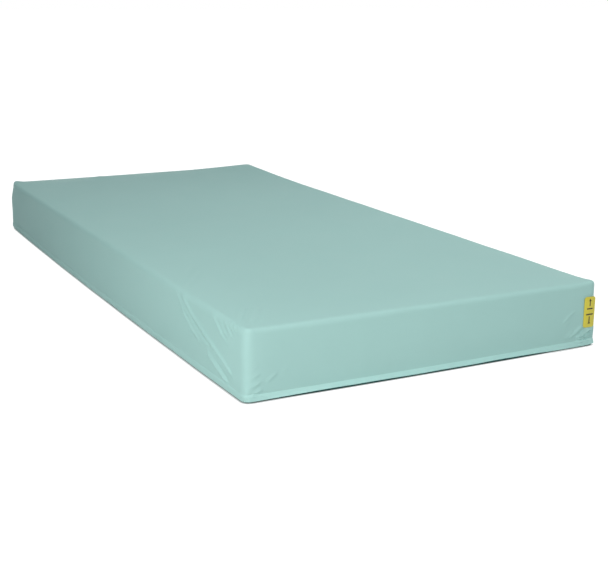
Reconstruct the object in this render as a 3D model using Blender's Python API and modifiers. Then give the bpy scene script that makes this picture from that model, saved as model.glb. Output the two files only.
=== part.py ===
"""Pressure relief mattress for a hospital bed: a two-part zipped cover round a castellated foam core.

Metres, +Z up. X runs across the bed, Y along it with the foot end at -Y, and the underside lies on z = 0.
"""

import math

import bmesh
import bpy
from mathutils import Vector

# Nominal size, over the walls of the cover just above its flap
LENGTH = 1.905
WIDTH = 0.889
EDGE_HEIGHT = 0.1525

# Soft form of the cover
CROWN = 0.003
WALL_BULGE = 0.0025
WALL_FOOT = 0.020
CORNER_RADIUS = 0.022
TOP_EDGE_RADIUS = 0.016
COVER_THICKNESS = 0.0008
COVER_SLACK = 0.0032

# Gaps that keep sewn, resting and sliding neighbours apart
SEW_GAP = 0.0003
REST_GAP = 0.0003
RUN_GAP = 0.0003

# Zip, seen in section: tape against the foam, coil on its outer face
ZIP_HEIGHT = 0.009
TAPE_THICKNESS = 0.0005
TAPE_SPLIT = 0.0008
COIL_RADIUS = 0.0009
COIL_SPREAD = 0.00175
UPPER_TAPE_TOP = 0.0175
LOWER_TAPE_FOOT = 0.0023
TAPE_TAIL = 0.006
ZIP_END_MARGIN = 0.030

# Hem of the top cover, turned in and up against the upper tape
HEM_HEIGHT = 0.0147

# Base cover, a shallow tray of heavier cloth
BASE_THICKNESS = 0.0010
BASE_RIM_HEIGHT = 0.0045
BASE_FOOT_RADIUS = 0.0025

# Flap that hangs over the zip
FLAP_TOP = 0.0185
FLAP_FOLD = 0.0145
FLAP_FOOT = 0.0045
FLAP_FLARE = 0.0060
FIXED_FLARE = 0.0020
FLAP_THICKNESS = 0.0008
FLAP_SLIT = 0.0016
FLAP_END_MARGIN = 0.012

# Zip slider and its pull tab
SLIDER_LENGTH = 0.012
SLIDER_HALF_HEIGHT = 0.0040
SLIDER_BACK = 0.0009
SLIDER_FRONT = 0.0008
SLIDER_FLANGE = 0.0007
SLIDER_FLANGE_DEPTH = 0.0018
SLIDER_POST_HALF = 0.0005
SLIDER_POST_LENGTH = 0.0042
BAIL_RADIUS = 0.0016
BAIL_WIRE = 0.0004
TAB_AXIS_STANDOFF = 0.00085
TAB_THICKNESS = 0.0010
TAB_WIDTH = 0.0050
TAB_LENGTH = 0.0160
TAB_BAR = 0.0010
TAB_WINDOW_LENGTH = 0.0024
TAB_WINDOW_WIDTH = 0.0015
STOP_LENGTH = 0.0030
STOP_SIDE = 0.0020
PARK_LENGTH = 0.020

# Foam core: slab, bolsters round its edge, castellated zones between them
SLAB_THICKNESS = 0.055
SLAB_REBATE_HEIGHT = 0.018
BOLSTER_WIDTH = 0.070
BOLSTER_EDGE_RADIUS = 0.012
ZONE_RISE = 0.0014
HEAD_SHARE = 0.27
HEEL_SHARE = 0.29
GROOVE_WIDTH = 0.006
GROOVE_DEPTH = 0.048
HEAD_CELLS = (8, 5)
TORSO_CELLS = (6, 7)
HEEL_CELLS = (8, 6)

# Turning label on the foot end, beside the +X corner
LABEL_WIDTH = 0.031
LABEL_HEIGHT = 0.073
LABEL_THICKNESS = 0.0007
LABEL_CORNER = 0.006
LABEL_FROM_SIDE = 0.0195
LABEL_CENTRE_HEIGHT = 0.0825

# Facets of the rounded shapes
ARC_STEPS = 5
EDGE_STEPS = 4

# Fits that follow from the values above, as distances in from the nominal outline
FOAM_INSET = COVER_THICKNESS + COVER_SLACK
TAPE_INNER = FOAM_INSET - RUN_GAP
TAPE_OUTER = TAPE_INNER - TAPE_THICKNESS
HEM_INSET = TAPE_OUTER - SEW_GAP
COIL_INSET = TAPE_OUTER - SEW_GAP - COIL_RADIUS
CHANNEL_OUTER = COIL_INSET - COIL_RADIUS - RUN_GAP
CHANNEL_INNER = TAPE_INNER + RUN_GAP
SLAB_REBATE = CHANNEL_INNER + SLIDER_BACK + RUN_GAP + 0.0001 - FOAM_INSET
RIM_OUTER = TAPE_OUTER - SEW_GAP - BASE_THICKNESS
TAB_AXIS_INSET = CHANNEL_OUTER - SLIDER_FRONT - TAB_AXIS_STANDOFF
SLAB_FLOOR = BASE_THICKNESS + REST_GAP
SLAB_TOP = SLAB_FLOOR + SLAB_THICKNESS
FOAM_TOP = EDGE_HEIGHT - COVER_THICKNESS - REST_GAP
STRAIGHT_X = WIDTH / 2 - CORNER_RADIUS
STRAIGHT_Y = LENGTH / 2 - CORNER_RADIUS
FLAP_END = STRAIGHT_Y - FLAP_END_MARGIN
PARK_Y = STRAIGHT_Y - ZIP_END_MARGIN - PARK_LENGTH / 2
CHAIN_START_Y = PARK_Y - PARK_LENGTH / 2

for item in list(bpy.data.objects):
    bpy.data.objects.remove(item, do_unlink=True)

PARTS = bpy.data.collections.new("pressure_relief_mattress")
CUTTERS = bpy.data.collections.new("cutters")
for group in (PARTS, CUTTERS):
    bpy.context.scene.collection.children.link(group)


def paint(name, colour, roughness, metallic=0.0):
    material = bpy.data.materials.new(name)
    material.use_nodes = True
    surface = material.node_tree.nodes["Principled BSDF"]
    surface.inputs["Base Color"].default_value = (*colour, 1.0)
    surface.inputs["Roughness"].default_value = roughness
    surface.inputs["Metallic"].default_value = metallic
    material.diffuse_color = (*colour, 1.0)
    return material


def place(name, data, material):
    """Links a mesh or curve as a part of the mattress."""
    part = bpy.data.objects.new(name, data)
    data.materials.append(material)
    PARTS.objects.link(part)
    return part


def cutter(name, low, high):
    """A box between two corners, kept out of the part itself."""
    mesh = bpy.data.meshes.new(name)
    shape = bmesh.new()
    bmesh.ops.create_cube(shape, size=1.0)
    middle = (Vector(low) + Vector(high)) / 2
    bmesh.ops.scale(shape, vec=Vector(high) - Vector(low), verts=shape.verts)
    bmesh.ops.translate(shape, vec=middle, verts=shape.verts)
    shape.to_mesh(mesh)
    shape.free()
    box = bpy.data.objects.new(name, mesh)
    box.hide_render = True
    box.display_type = "WIRE"
    CUTTERS.objects.link(box)
    return box


def combine(part, other, operation):
    step = part.modifiers.new(other.name, "BOOLEAN")
    step.operation = operation
    step.solver = "EXACT"
    step.object = other


def smooth(part):
    for face in part.data.polygons:
        face.use_smooth = True


def ring(inset, height):
    """Closed rounded rectangle this far inside the nominal outline, clockwise from above."""
    radius = max(CORNER_RADIUS - inset, 0.003)
    reach_x = WIDTH / 2 - inset - radius
    reach_y = LENGTH / 2 - inset - radius
    points = []
    for quarter, (side_x, side_y) in enumerate(((1, -1), (-1, -1), (-1, 1), (1, 1))):
        for step in range(ARC_STEPS + 1):
            angle = -math.pi / 2 * (quarter + step / ARC_STEPS)
            x = side_x * reach_x + radius * math.cos(angle)
            y = side_y * reach_y + radius * math.sin(angle)
            points.append(Vector((x, y, height)))
    return points


def rail(start_y, corners, last):
    """Stations clockwise from the +X side: the point an outline turns about and its way outward."""
    stations = [((STRAIGHT_X, start_y), (1.0, 0.0))]
    centres = ((1, -1), (-1, -1), (-1, 1), (1, 1))
    for quarter in range(corners):
        side_x, side_y = centres[quarter]
        for step in range(ARC_STEPS + 1):
            angle = -math.pi / 2 * (quarter + step / ARC_STEPS)
            centre = (side_x * STRAIGHT_X, side_y * STRAIGHT_Y)
            stations.append((centre, (math.cos(angle), math.sin(angle))))
    stations.append(last)
    return stations


def along(stations, inset, height):
    """The points of a rail at one distance in and one height."""
    reach = CORNER_RADIUS - inset
    return [Vector((c[0] + d[0] * reach, c[1] + d[1] * reach, height)) for c, d in stations]


def loft(name, rows, closed, cap_first=False, cap_last=False):
    """Skin over rows of matching points, given from the top down so that it faces out."""
    shape = bmesh.new()
    grid = [[shape.verts.new(point) for point in row] for row in rows]
    count = len(rows[0])
    for upper, lower in zip(grid, grid[1:]):
        for i in range(count if closed else count - 1):
            j = (i + 1) % count
            shape.faces.new((upper[i], upper[j], lower[j], lower[i]))
    if cap_first:
        shape.faces.new(list(reversed(grid[0])))
    if cap_last:
        shape.faces.new(grid[-1])
    mesh = bpy.data.meshes.new(name)
    shape.to_mesh(mesh)
    shape.free()
    return mesh


def thicken(part, thickness, outward):
    step = part.modifiers.new("thickness", "SOLIDIFY")
    step.thickness = thickness
    step.offset = 1.0 if outward else -1.0
    step.use_even_offset = True
    step.use_quality_normals = True


def flat_outline(name, splines, half_thickness):
    """Filled outlines in the local XY plane, given a thickness either side of it."""
    curve = bpy.data.curves.new(name, "CURVE")
    curve.dimensions = "2D"
    curve.fill_mode = "BOTH"
    curve.extrude = half_thickness
    for points in splines:
        spline = curve.splines.new("POLY")
        spline.points.add(len(points) - 1)
        for target, point in zip(spline.points, points):
            target.co = (point[0], point[1], 0.0, 1.0)
        spline.use_cyclic_u = True
    return curve


def rounded_rectangle(low, high, radius, steps=4):
    corners = ((high[0], high[1]), (low[0], high[1]), (low[0], low[1]), (high[0], low[1]))
    points = []
    for quarter, (x, y) in enumerate(corners):
        turn = (1 if quarter in (0, 3) else -1, 1 if quarter < 2 else -1)
        for step in range(steps + 1):
            angle = math.pi / 2 * (quarter + step / steps)
            centre = (x - turn[0] * radius, y - turn[1] * radius)
            points.append((centre[0] + radius * math.cos(angle), centre[1] + radius * math.sin(angle)))
    return points


def bead(name, stations, height, material):
    """Half of the zip's coil, as a round bead along its tape."""
    curve = bpy.data.curves.new(name, "CURVE")
    curve.dimensions = "3D"
    curve.bevel_depth = COIL_RADIUS
    curve.bevel_resolution = 2
    curve.use_fill_caps = True
    points = along(stations, COIL_INSET, height)
    spline = curve.splines.new("POLY")
    spline.points.add(len(points) - 1)
    for target, point in zip(spline.points, points):
        target.co = (*point, 1.0)
    return place(name, curve, material)


def stop(name, at, facing, height, material):
    """A small block on the tape, in line with the bead; facing is the rail's way outward there."""
    middle = COIL_INSET
    run = Vector((-facing[1], facing[0], 0.0))
    out = Vector((facing[0], facing[1], 0.0))
    mesh = bpy.data.meshes.new(name)
    shape = bmesh.new()
    bmesh.ops.create_cube(shape, size=1.0)
    for corner in shape.verts:
        x, y, z = corner.co
        corner.co = run * (x * STOP_LENGTH) + out * (y * COIL_RADIUS * 2) + Vector((0, 0, z * STOP_SIDE))
    bmesh.ops.recalc_face_normals(shape, faces=shape.faces)
    shape.to_mesh(mesh)
    shape.free()
    part = place(name, mesh, material)
    part.location = (at[0] - facing[0] * middle, at[1] - facing[1] * middle, height)
    corner_round = part.modifiers.new("rounding", "BEVEL")
    corner_round.width = STOP_SIDE / 6
    corner_round.segments = 1
    return part


cover_cloth = paint("cover_cloth", (0.36, 0.55, 0.52), 0.45)
base_cloth = paint("base_cloth", (0.03, 0.12, 0.11), 0.6)
flap_cloth = paint("flap_cloth", (0.40, 0.62, 0.58), 0.45)
tape_weave = paint("tape_weave", (0.08, 0.22, 0.20), 0.8)
coil_nylon = paint("coil_nylon", (0.10, 0.25, 0.23), 0.4)
zinc = paint("zinc", (0.55, 0.56, 0.57), 0.3, 1.0)
label_vinyl = paint("label_vinyl", (0.58, 0.53, 0.05), 0.4)
base_foam = paint("base_foam", (0.75, 0.74, 0.70), 0.95)
edge_foam = paint("edge_foam", (0.45, 0.58, 0.72), 0.95)
zone_foam = paint("zone_foam", (0.85, 0.80, 0.62), 0.95)

# Top cover: crown, rounded edges, walls that bulge a little, and a hem turned in and up
wall_top = EDGE_HEIGHT - TOP_EDGE_RADIUS
rows = []
for share, rise in ((0.86, 1.0), (0.45, 0.95), (0.225, 0.75), (0.1125, 0.45)):
    rows.append(ring(share * WIDTH / 2, EDGE_HEIGHT + CROWN * rise))
for step in range(EDGE_STEPS + 1):
    angle = math.pi / 2 * step / EDGE_STEPS
    inset = TOP_EDGE_RADIUS * (1 - math.sin(angle))
    rows.append(ring(inset, wall_top + TOP_EDGE_RADIUS * math.cos(angle)))
for share in (0.75, 0.5, 0.25, 0.0):
    bulge = WALL_BULGE * math.sin(math.pi * share)
    rows.append(ring(-bulge, WALL_FOOT + share * (wall_top - WALL_FOOT)))
rows.append(ring(0.0, HEM_HEIGHT))
rows.append(ring(HEM_INSET, HEM_HEIGHT))
rows.append(ring(HEM_INSET, UPPER_TAPE_TOP))
top_cover = place("top_cover", loft("top_cover", rows, True, cap_first=True), cover_cloth)
thicken(top_cover, COVER_THICKNESS, outward=False)
smooth(top_cover)

# Base cover: flat underside with a low turned-up rim
rows = [ring(RIM_OUTER, BASE_RIM_HEIGHT)]
for step in range(3):
    angle = math.pi / 2 * step / 2
    inset = RIM_OUTER + BASE_FOOT_RADIUS * (1 - math.cos(angle))
    rows.append(ring(inset, BASE_FOOT_RADIUS * (1 - math.sin(angle))))
rows.append(ring(0.25 * WIDTH / 2, 0.0))
base_cover = place("base_cover", loft("base_cover", rows, True, cap_last=True), base_cloth)
thicken(base_cover, BASE_THICKNESS, outward=False)

# Flap over the zip: fixed on three sides, free to fold up along the +X side where the slider runs
head_corner_out = ((STRAIGHT_X, FLAP_END), (1.0, 0.0))
flap_lap = ((-SEW_GAP, FLAP_TOP), (-SEW_GAP, FLAP_FOLD))
fixed_profile = flap_lap + ((-FIXED_FLARE, FLAP_FOOT),)
access_profile = flap_lap + ((-FLAP_FLARE, FLAP_FOOT),)
fixed_rail = rail(-FLAP_END, 4, head_corner_out)
rows = [along(fixed_rail, inset, height) for inset, height in fixed_profile]
zip_flap = place("zip_flap", loft("zip_flap", rows, False), flap_cloth)
thicken(zip_flap, FLAP_THICKNESS, outward=True)

access_end = FLAP_END - FLAP_SLIT
hinge_x = WIDTH / 2 + SEW_GAP + FLAP_THICKNESS / 2
side_rail = [((STRAIGHT_X, access_end), (1.0, 0.0)), ((STRAIGHT_X, -access_end), (1.0, 0.0))]
rows = [along(side_rail, inset, height) for inset, height in access_profile]
hinge = Vector((hinge_x, 0.0, FLAP_TOP))
rows = [[point - hinge for point in row] for row in rows]
access_flap = place("access_flap", loft("access_flap", rows, False), flap_cloth)
access_flap.location = hinge
thicken(access_flap, FLAP_THICKNESS, outward=True)

# Zip tapes and coil halves, open at the corner by the parked slider
head_stop_x = STRAIGHT_X - ZIP_END_MARGIN
upper_end = ((head_stop_x, STRAIGHT_Y), (0.0, 1.0))
tail_end = ((head_stop_x + TAPE_TAIL, STRAIGHT_Y), (0.0, 1.0))
lower_start_y = PARK_Y + PARK_LENGTH / 2
upper_rail = rail(CHAIN_START_Y, 3, upper_end)
lower_rail = rail(lower_start_y, 3, upper_end)
upper_tape_rail = rail(CHAIN_START_Y + STOP_LENGTH + SEW_GAP * 2, 3, tail_end)
lower_tape_rail = rail(lower_start_y + TAPE_TAIL, 3, tail_end)

for name, stations, top, foot in (
    ("zip_tape_upper", upper_tape_rail, UPPER_TAPE_TOP, ZIP_HEIGHT + TAPE_SPLIT),
    ("zip_tape_lower", lower_tape_rail, ZIP_HEIGHT - TAPE_SPLIT, LOWER_TAPE_FOOT),
):
    rows = [along(stations, TAPE_INNER, top), along(stations, TAPE_INNER, foot)]
    tape = place(name, loft(name, rows, False), tape_weave)
    thicken(tape, TAPE_THICKNESS, outward=True)

bead("zip_coil_upper", upper_rail, ZIP_HEIGHT + COIL_SPREAD, coil_nylon)
bead("zip_coil_lower", lower_rail, ZIP_HEIGHT - COIL_SPREAD, coil_nylon)

# End fittings: a slim pin leads the upper coil, stops close the other three ends
stop_shift = STOP_LENGTH / 2 + SEW_GAP
upper_z = ZIP_HEIGHT + COIL_SPREAD
lower_z = ZIP_HEIGHT - COIL_SPREAD
side_x = (1.0, 0.0)
head_y = (0.0, 1.0)
stop("zip_pin_upper", (WIDTH / 2, CHAIN_START_Y + stop_shift), side_x, upper_z, zinc)
stop("zip_stop_lower", (WIDTH / 2, lower_start_y + stop_shift), side_x, lower_z, zinc)
stop("zip_far_stop_upper", (head_stop_x + stop_shift, LENGTH / 2), head_y, upper_z, zinc)
stop("zip_far_stop_lower", (head_stop_x + stop_shift, LENGTH / 2), head_y, lower_z, zinc)

# Slider: front and back plates joined by a post, flanges round the coils, a bail for the tab
front_x = WIDTH / 2 - CHANNEL_OUTER + SLIDER_FRONT
back_x = WIDTH / 2 - CHANNEL_INNER - SLIDER_BACK
low_y = PARK_Y - SLIDER_LENGTH / 2
high_y = PARK_Y + SLIDER_LENGTH / 2
low_z = ZIP_HEIGHT - SLIDER_HALF_HEIGHT
high_z = ZIP_HEIGHT + SLIDER_HALF_HEIGHT
channel_out_x = WIDTH / 2 - CHANNEL_OUTER
channel_in_x = WIDTH / 2 - CHANNEL_INNER
flange_x = channel_out_x - SLIDER_FLANGE_DEPTH
mesh = bpy.data.meshes.new("zip_slider")
shape = bmesh.new()
bmesh.ops.create_cube(shape, size=1.0)
slider_size = Vector((SLIDER_FRONT, SLIDER_LENGTH, 2 * SLIDER_HALF_HEIGHT))
slider_middle = Vector(((front_x + channel_out_x) / 2, PARK_Y, ZIP_HEIGHT))
bmesh.ops.scale(shape, vec=slider_size, verts=shape.verts)
upright = [edge for edge in shape.edges if abs(edge.verts[0].co.x - edge.verts[1].co.x) > 1e-6]
bmesh.ops.bevel(shape, geom=upright, offset=SLIDER_HALF_HEIGHT / 3, segments=2, profile=0.5, affect="EDGES")
shape.to_mesh(mesh)
shape.free()
zip_slider = place("zip_slider", mesh, zinc)
zip_slider.location = slider_middle
overlap = SLIDER_FRONT / 3
inset_y = SLIDER_HALF_HEIGHT / 3
post_low = PARK_Y - SLIDER_POST_LENGTH / 2
post_high = PARK_Y + SLIDER_POST_LENGTH / 2
combine(zip_slider, cutter("slider_flange_top",
        (flange_x, low_y + inset_y, high_z - SLIDER_FLANGE),
        (channel_out_x + overlap, high_y - inset_y, high_z)), "UNION")
combine(zip_slider, cutter("slider_flange_foot",
        (flange_x, low_y + inset_y, low_z),
        (channel_out_x + overlap, high_y - inset_y, low_z + SLIDER_FLANGE)), "UNION")
combine(zip_slider, cutter("slider_post",
        (channel_in_x - overlap, post_low, ZIP_HEIGHT - SLIDER_POST_HALF),
        (channel_out_x + overlap, post_high, ZIP_HEIGHT + SLIDER_POST_HALF)), "UNION")
combine(zip_slider, cutter("slider_back",
        (back_x, low_y + inset_y, low_z),
        (channel_in_x, high_y - inset_y, high_z)), "UNION")
tab_x = WIDTH / 2 - TAB_AXIS_INSET
mesh = bpy.data.meshes.new("slider_bail")
shape = bmesh.new()
hoop = []
for step in range(12):
    angle = 2 * math.pi * step / 12
    middle = Vector((math.cos(angle), math.sin(angle), 0.0))
    loop = []
    for part_step in range(6):
        turn = 2 * math.pi * part_step / 6
        point = middle * (BAIL_RADIUS + BAIL_WIRE * math.cos(turn))
        loop.append(shape.verts.new(point + Vector((0.0, 0.0, BAIL_WIRE * math.sin(turn)))))
    hoop.append(loop)
for step in range(12):
    near, far = hoop[step], hoop[(step + 1) % 12]
    for part_step in range(6):
        after = (part_step + 1) % 6
        shape.faces.new((near[part_step], far[part_step], far[after], near[after]))
bmesh.ops.recalc_face_normals(shape, faces=shape.faces)
shape.to_mesh(mesh)
shape.free()
bail = bpy.data.objects.new("slider_bail", mesh)
bail.location = (tab_x, PARK_Y, ZIP_HEIGHT)
bail.hide_render = True
bail.display_type = "WIRE"
CUTTERS.objects.link(bail)
combine(zip_slider, bail, "UNION")

# Pull tab: lies back along the chain from the bar under the bail
outer = rounded_rectangle((-TAB_BAR / 2, -TAB_WIDTH / 2), (TAB_LENGTH, TAB_WIDTH / 2), TAB_BAR / 2.2, 3)
window = rounded_rectangle((TAB_BAR / 2, -TAB_WINDOW_WIDTH / 2),
                           (TAB_BAR / 2 + TAB_WINDOW_LENGTH, TAB_WINDOW_WIDTH / 2), TAB_WINDOW_WIDTH / 6, 2)
zip_pull_tab = place("zip_pull_tab", flat_outline("zip_pull_tab", (outer, window), TAB_THICKNESS / 2), zinc)
zip_pull_tab.location = (tab_x, PARK_Y, ZIP_HEIGHT)
zip_pull_tab.rotation_euler = (math.pi / 2, 0.0, -math.pi / 2)

# Turning label, a stiff tag that stands flat past the rounded corner
label_x = WIDTH / 2 - LABEL_FROM_SIDE
outer = rounded_rectangle((-LABEL_WIDTH / 2, -LABEL_HEIGHT / 2), (LABEL_WIDTH / 2, LABEL_HEIGHT / 2), LABEL_CORNER)
turn_label = place("turn_label", flat_outline("turn_label", (outer,), LABEL_THICKNESS / 2), label_vinyl)
turn_label.rotation_euler = (math.pi / 2, 0.0, 0.0)
turn_label.location = (label_x, -(LENGTH / 2 + WALL_BULGE + SEW_GAP + LABEL_THICKNESS / 2), LABEL_CENTRE_HEIGHT)

# Foam slab with a rebate round its foot for the zip
rows = [
    ring(FOAM_INSET, SLAB_TOP),
    ring(FOAM_INSET, SLAB_REBATE_HEIGHT),
    ring(FOAM_INSET + SLAB_REBATE, SLAB_REBATE_HEIGHT),
    ring(FOAM_INSET + SLAB_REBATE, SLAB_FLOOR),
]
place("foam_base_slab", loft("foam_base_slab", rows, True, cap_first=True, cap_last=True), base_foam)

# Bolsters: one rounded collar, cut into two long sides and two short ends
bolster_floor = SLAB_TOP + REST_GAP
rows = []
for step in range(4):
    angle = math.pi / 2 * step / 3
    inset = FOAM_INSET + BOLSTER_EDGE_RADIUS * (1 - math.sin(angle))
    rows.append(ring(inset, FOAM_TOP - BOLSTER_EDGE_RADIUS * (1 - math.cos(angle))))
rows.append(ring(FOAM_INSET, bolster_floor))
foam_x = WIDTH / 2 - FOAM_INSET
foam_y = LENGTH / 2 - FOAM_INSET
inner_x = foam_x - BOLSTER_WIDTH
inner_y = foam_y - BOLSTER_WIDTH
below = bolster_floor - REST_GAP / 2
above = FOAM_TOP + ZONE_RISE
bolster_boxes = {
    "foam_bolster_left": ((-WIDTH, -LENGTH, below), (-inner_x, LENGTH, above)),
    "foam_bolster_right": ((inner_x, -LENGTH, below), (WIDTH, LENGTH, above)),
    "foam_bolster_foot": ((-inner_x + SEW_GAP, -LENGTH, below), (inner_x - SEW_GAP, -inner_y, above)),
    "foam_bolster_head": ((-inner_x + SEW_GAP, inner_y, below), (inner_x - SEW_GAP, LENGTH, above)),
}
for name, (low, high) in bolster_boxes.items():
    bolster = place(name, loft(name, rows, True, cap_first=True, cap_last=True), edge_foam)
    combine(bolster, cutter(name + "_span", low, high), "INTERSECT")

# Castellated zones: blocks with crossing grooves, softer cells under the head and heels
zone_x = inner_x - SEW_GAP
zone_low = -inner_y + SEW_GAP
zone_high = inner_y - SEW_GAP
zone_run = zone_high - zone_low
zone_top = FOAM_TOP + ZONE_RISE
heel_top = zone_low + HEEL_SHARE * zone_run
head_foot = zone_high - HEAD_SHARE * zone_run
zones = {
    "foam_heel_zone": (zone_low, heel_top - SEW_GAP / 2, HEEL_CELLS),
    "foam_torso_zone": (heel_top + SEW_GAP / 2, head_foot - SEW_GAP / 2, TORSO_CELLS),
    "foam_head_zone": (head_foot + SEW_GAP / 2, zone_high, HEAD_CELLS),
}
for name, (low_y, high_y, (across, down)) in zones.items():
    mesh = bpy.data.meshes.new(name)
    shape = bmesh.new()
    bmesh.ops.create_cube(shape, size=1.0)
    bmesh.ops.scale(shape, vec=(2 * zone_x, high_y - low_y, zone_top - bolster_floor), verts=shape.verts)
    bmesh.ops.translate(shape, vec=(0.0, (low_y + high_y) / 2, (zone_top + bolster_floor) / 2), verts=shape.verts)
    shape.to_mesh(mesh)
    shape.free()
    zone = place(name, mesh, zone_foam)
    pitch_x = 2 * zone_x / across
    pitch_y = (high_y - low_y) / down
    groove_floor = zone_top - GROOVE_DEPTH
    half = GROOVE_WIDTH / 2
    long_cut = cutter(name + "_long", (-zone_x + pitch_x - half, low_y - half, groove_floor),
                      (-zone_x + pitch_x + half, high_y + half, zone_top + half))
    cross_cut = cutter(name + "_cross", (-zone_x - half, low_y + pitch_y - half, groove_floor),
                       (zone_x + half, low_y + pitch_y + half, zone_top + half))
    for cut, count, step in ((long_cut, across - 1, (pitch_x, 0.0, 0.0)), (cross_cut, down - 1, (0.0, pitch_y, 0.0))):
        row = cut.modifiers.new("row", "ARRAY")
        row.count = count
        row.use_relative_offset = False
        row.use_constant_offset = True
        row.constant_offset_displace = step
        combine(zone, cut, "DIFFERENCE")
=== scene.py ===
# %% [markdown]
# # A pressure relief mattress
# The real object is a two-part cover, joined by a zip that runs round the bottom edge, over a core of
# several foams. Each part is its own piece here, and each piece rides on the body that it moves with.

# %% Load the frame
import math

import bmesh
import bpy
import numpy as np
from mathutils import Matrix, Vector


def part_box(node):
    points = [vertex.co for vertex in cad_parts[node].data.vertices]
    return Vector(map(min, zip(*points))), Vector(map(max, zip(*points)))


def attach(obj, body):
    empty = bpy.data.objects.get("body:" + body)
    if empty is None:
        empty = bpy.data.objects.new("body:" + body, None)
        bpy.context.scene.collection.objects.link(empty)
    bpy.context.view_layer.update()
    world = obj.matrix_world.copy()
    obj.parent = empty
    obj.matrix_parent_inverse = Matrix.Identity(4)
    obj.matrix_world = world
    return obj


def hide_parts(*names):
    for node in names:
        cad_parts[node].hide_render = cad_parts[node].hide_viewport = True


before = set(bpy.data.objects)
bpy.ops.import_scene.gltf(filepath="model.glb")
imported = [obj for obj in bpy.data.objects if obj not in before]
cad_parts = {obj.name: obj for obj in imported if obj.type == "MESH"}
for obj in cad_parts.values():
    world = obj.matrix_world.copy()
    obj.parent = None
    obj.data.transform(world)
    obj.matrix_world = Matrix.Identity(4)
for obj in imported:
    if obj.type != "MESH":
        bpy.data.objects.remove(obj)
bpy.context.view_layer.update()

# %% [markdown]
# ## The camera
# The mattress is seen over its near corner from a little above. The lens length is worked out from a
# focal length in pixels, because the picture's own size is what the eye compares.

# %% Camera
PICTURE_WIDTH = 608
FOCAL_PIXELS = 1151.0
SENSOR_WIDTH = 36.0
STUDIO_SIZE = 60.0
CAMERA_PLACE = Vector((-1.335, -2.912, 0.810))
CAMERA_TURN, CAMERA_TILT, CAMERA_ROLL = (math.radians(a) for a in (-27.52, 14.66, 0.49))

back = Vector((
    math.sin(CAMERA_TURN) * math.cos(CAMERA_TILT),
    -math.cos(CAMERA_TURN) * math.cos(CAMERA_TILT),
    math.sin(CAMERA_TILT),
))
level = Vector((0.0, 0.0, 1.0)).cross(back).normalized()
rise = back.cross(level)
across = level * math.cos(CAMERA_ROLL) + rise * math.sin(CAMERA_ROLL)
upward = rise * math.cos(CAMERA_ROLL) - level * math.sin(CAMERA_ROLL)

lens = bpy.data.cameras.new("camera")
lens.sensor_fit = "HORIZONTAL"
lens.sensor_width = SENSOR_WIDTH
lens.lens = SENSOR_WIDTH * FOCAL_PIXELS / PICTURE_WIDTH
lens.clip_end = STUDIO_SIZE
camera = bpy.data.objects.new("camera", lens)
turned = Matrix((across, upward, back)).transposed().to_4x4()
camera.matrix_world = Matrix.Translation(CAMERA_PLACE) @ turned
bpy.context.scene.collection.objects.link(camera)
bpy.context.scene.camera = camera
bpy.context.scene.view_settings.view_transform = "Standard"
print(f"lens {lens.lens:.1f} mm")

# %% [markdown]
# ## Shader maths in plain Python
# A material is a graph of nodes. This small class wraps one socket, so that a sum of sockets can be
# written as a sum, and every other node comes from its one method.


# %% Sockets as numbers
class Wire:
    """One socket of a node tree; arithmetic on it adds Math nodes."""

    def __init__(self, tree, socket=None):
        self.tree = tree
        self.socket = socket

    def node(self, kind, settings=None, inputs=None, out=0):
        made = self.tree.nodes.new(kind)
        for name, value in (settings or {}).items():
            if name == "stops":
                ramp = made.color_ramp
                while len(ramp.elements) < len(value):
                    ramp.elements.new(0.5)
                for element, (place, colour) in zip(ramp.elements, value):
                    element.position = place
                    element.color = (*colour, 1.0)
            else:
                setattr(made, name, value)
        for name, value in (inputs or {}).items():
            if isinstance(value, Wire):
                self.tree.links.new(value.socket, made.inputs[name])
            else:
                made.inputs[name].default_value = value
        return Wire(self.tree, made.outputs[out])

    def maths(self, operation, first, second=0.0):
        return self.node("ShaderNodeMath", {"operation": operation}, {0: first, 1: second})

    def __add__(self, other):
        return self.maths("ADD", self, other)

    __radd__ = __add__

    def __sub__(self, other):
        return self.maths("SUBTRACT", self, other)

    def __rsub__(self, other):
        return self.maths("SUBTRACT", other, self)

    def __mul__(self, other):
        return self.maths("MULTIPLY", self, other)

    __rmul__ = __mul__

    def at_most(self, other):
        return self.maths("MINIMUM", self, other)

    def blend(self, low, high):
        """A colour between two, by this value."""
        ends = {0: self, 6: (*low, 1.0), 7: (*high, 1.0)}
        return self.node("ShaderNodeMix", {"data_type": "RGBA"}, ends, 2)


def finish(name, roughness, metallic=0.0, **sockets):
    """A new material: its Wire, its surface node and itself."""
    material = bpy.data.materials.new(name)
    material.use_nodes = True
    surface = material.node_tree.nodes["Principled BSDF"]
    surface.inputs["Roughness"].default_value = roughness
    surface.inputs["Metallic"].default_value = metallic
    for socket, value in sockets.items():
        surface.inputs[socket.replace("_", " ")].default_value = value
    return Wire(material.node_tree), surface, material


def plug(wire, surface, socket):
    wire.tree.links.new(wire.socket, surface.inputs[socket])


def noise(wire, place, scale, detail=3.0, roughness=0.5):
    inputs = {"Vector": place, "Scale": scale, "Detail": detail, "Roughness": roughness}
    return wire.node("ShaderNodeTexNoise", None, inputs)


def bumped(wire, surface, height, strength, distance):
    inputs = {"Height": height, "Strength": strength, "Distance": distance}
    plug(wire.node("ShaderNodeBump", None, inputs), surface, "Normal")


print("shader tools ready")
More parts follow.
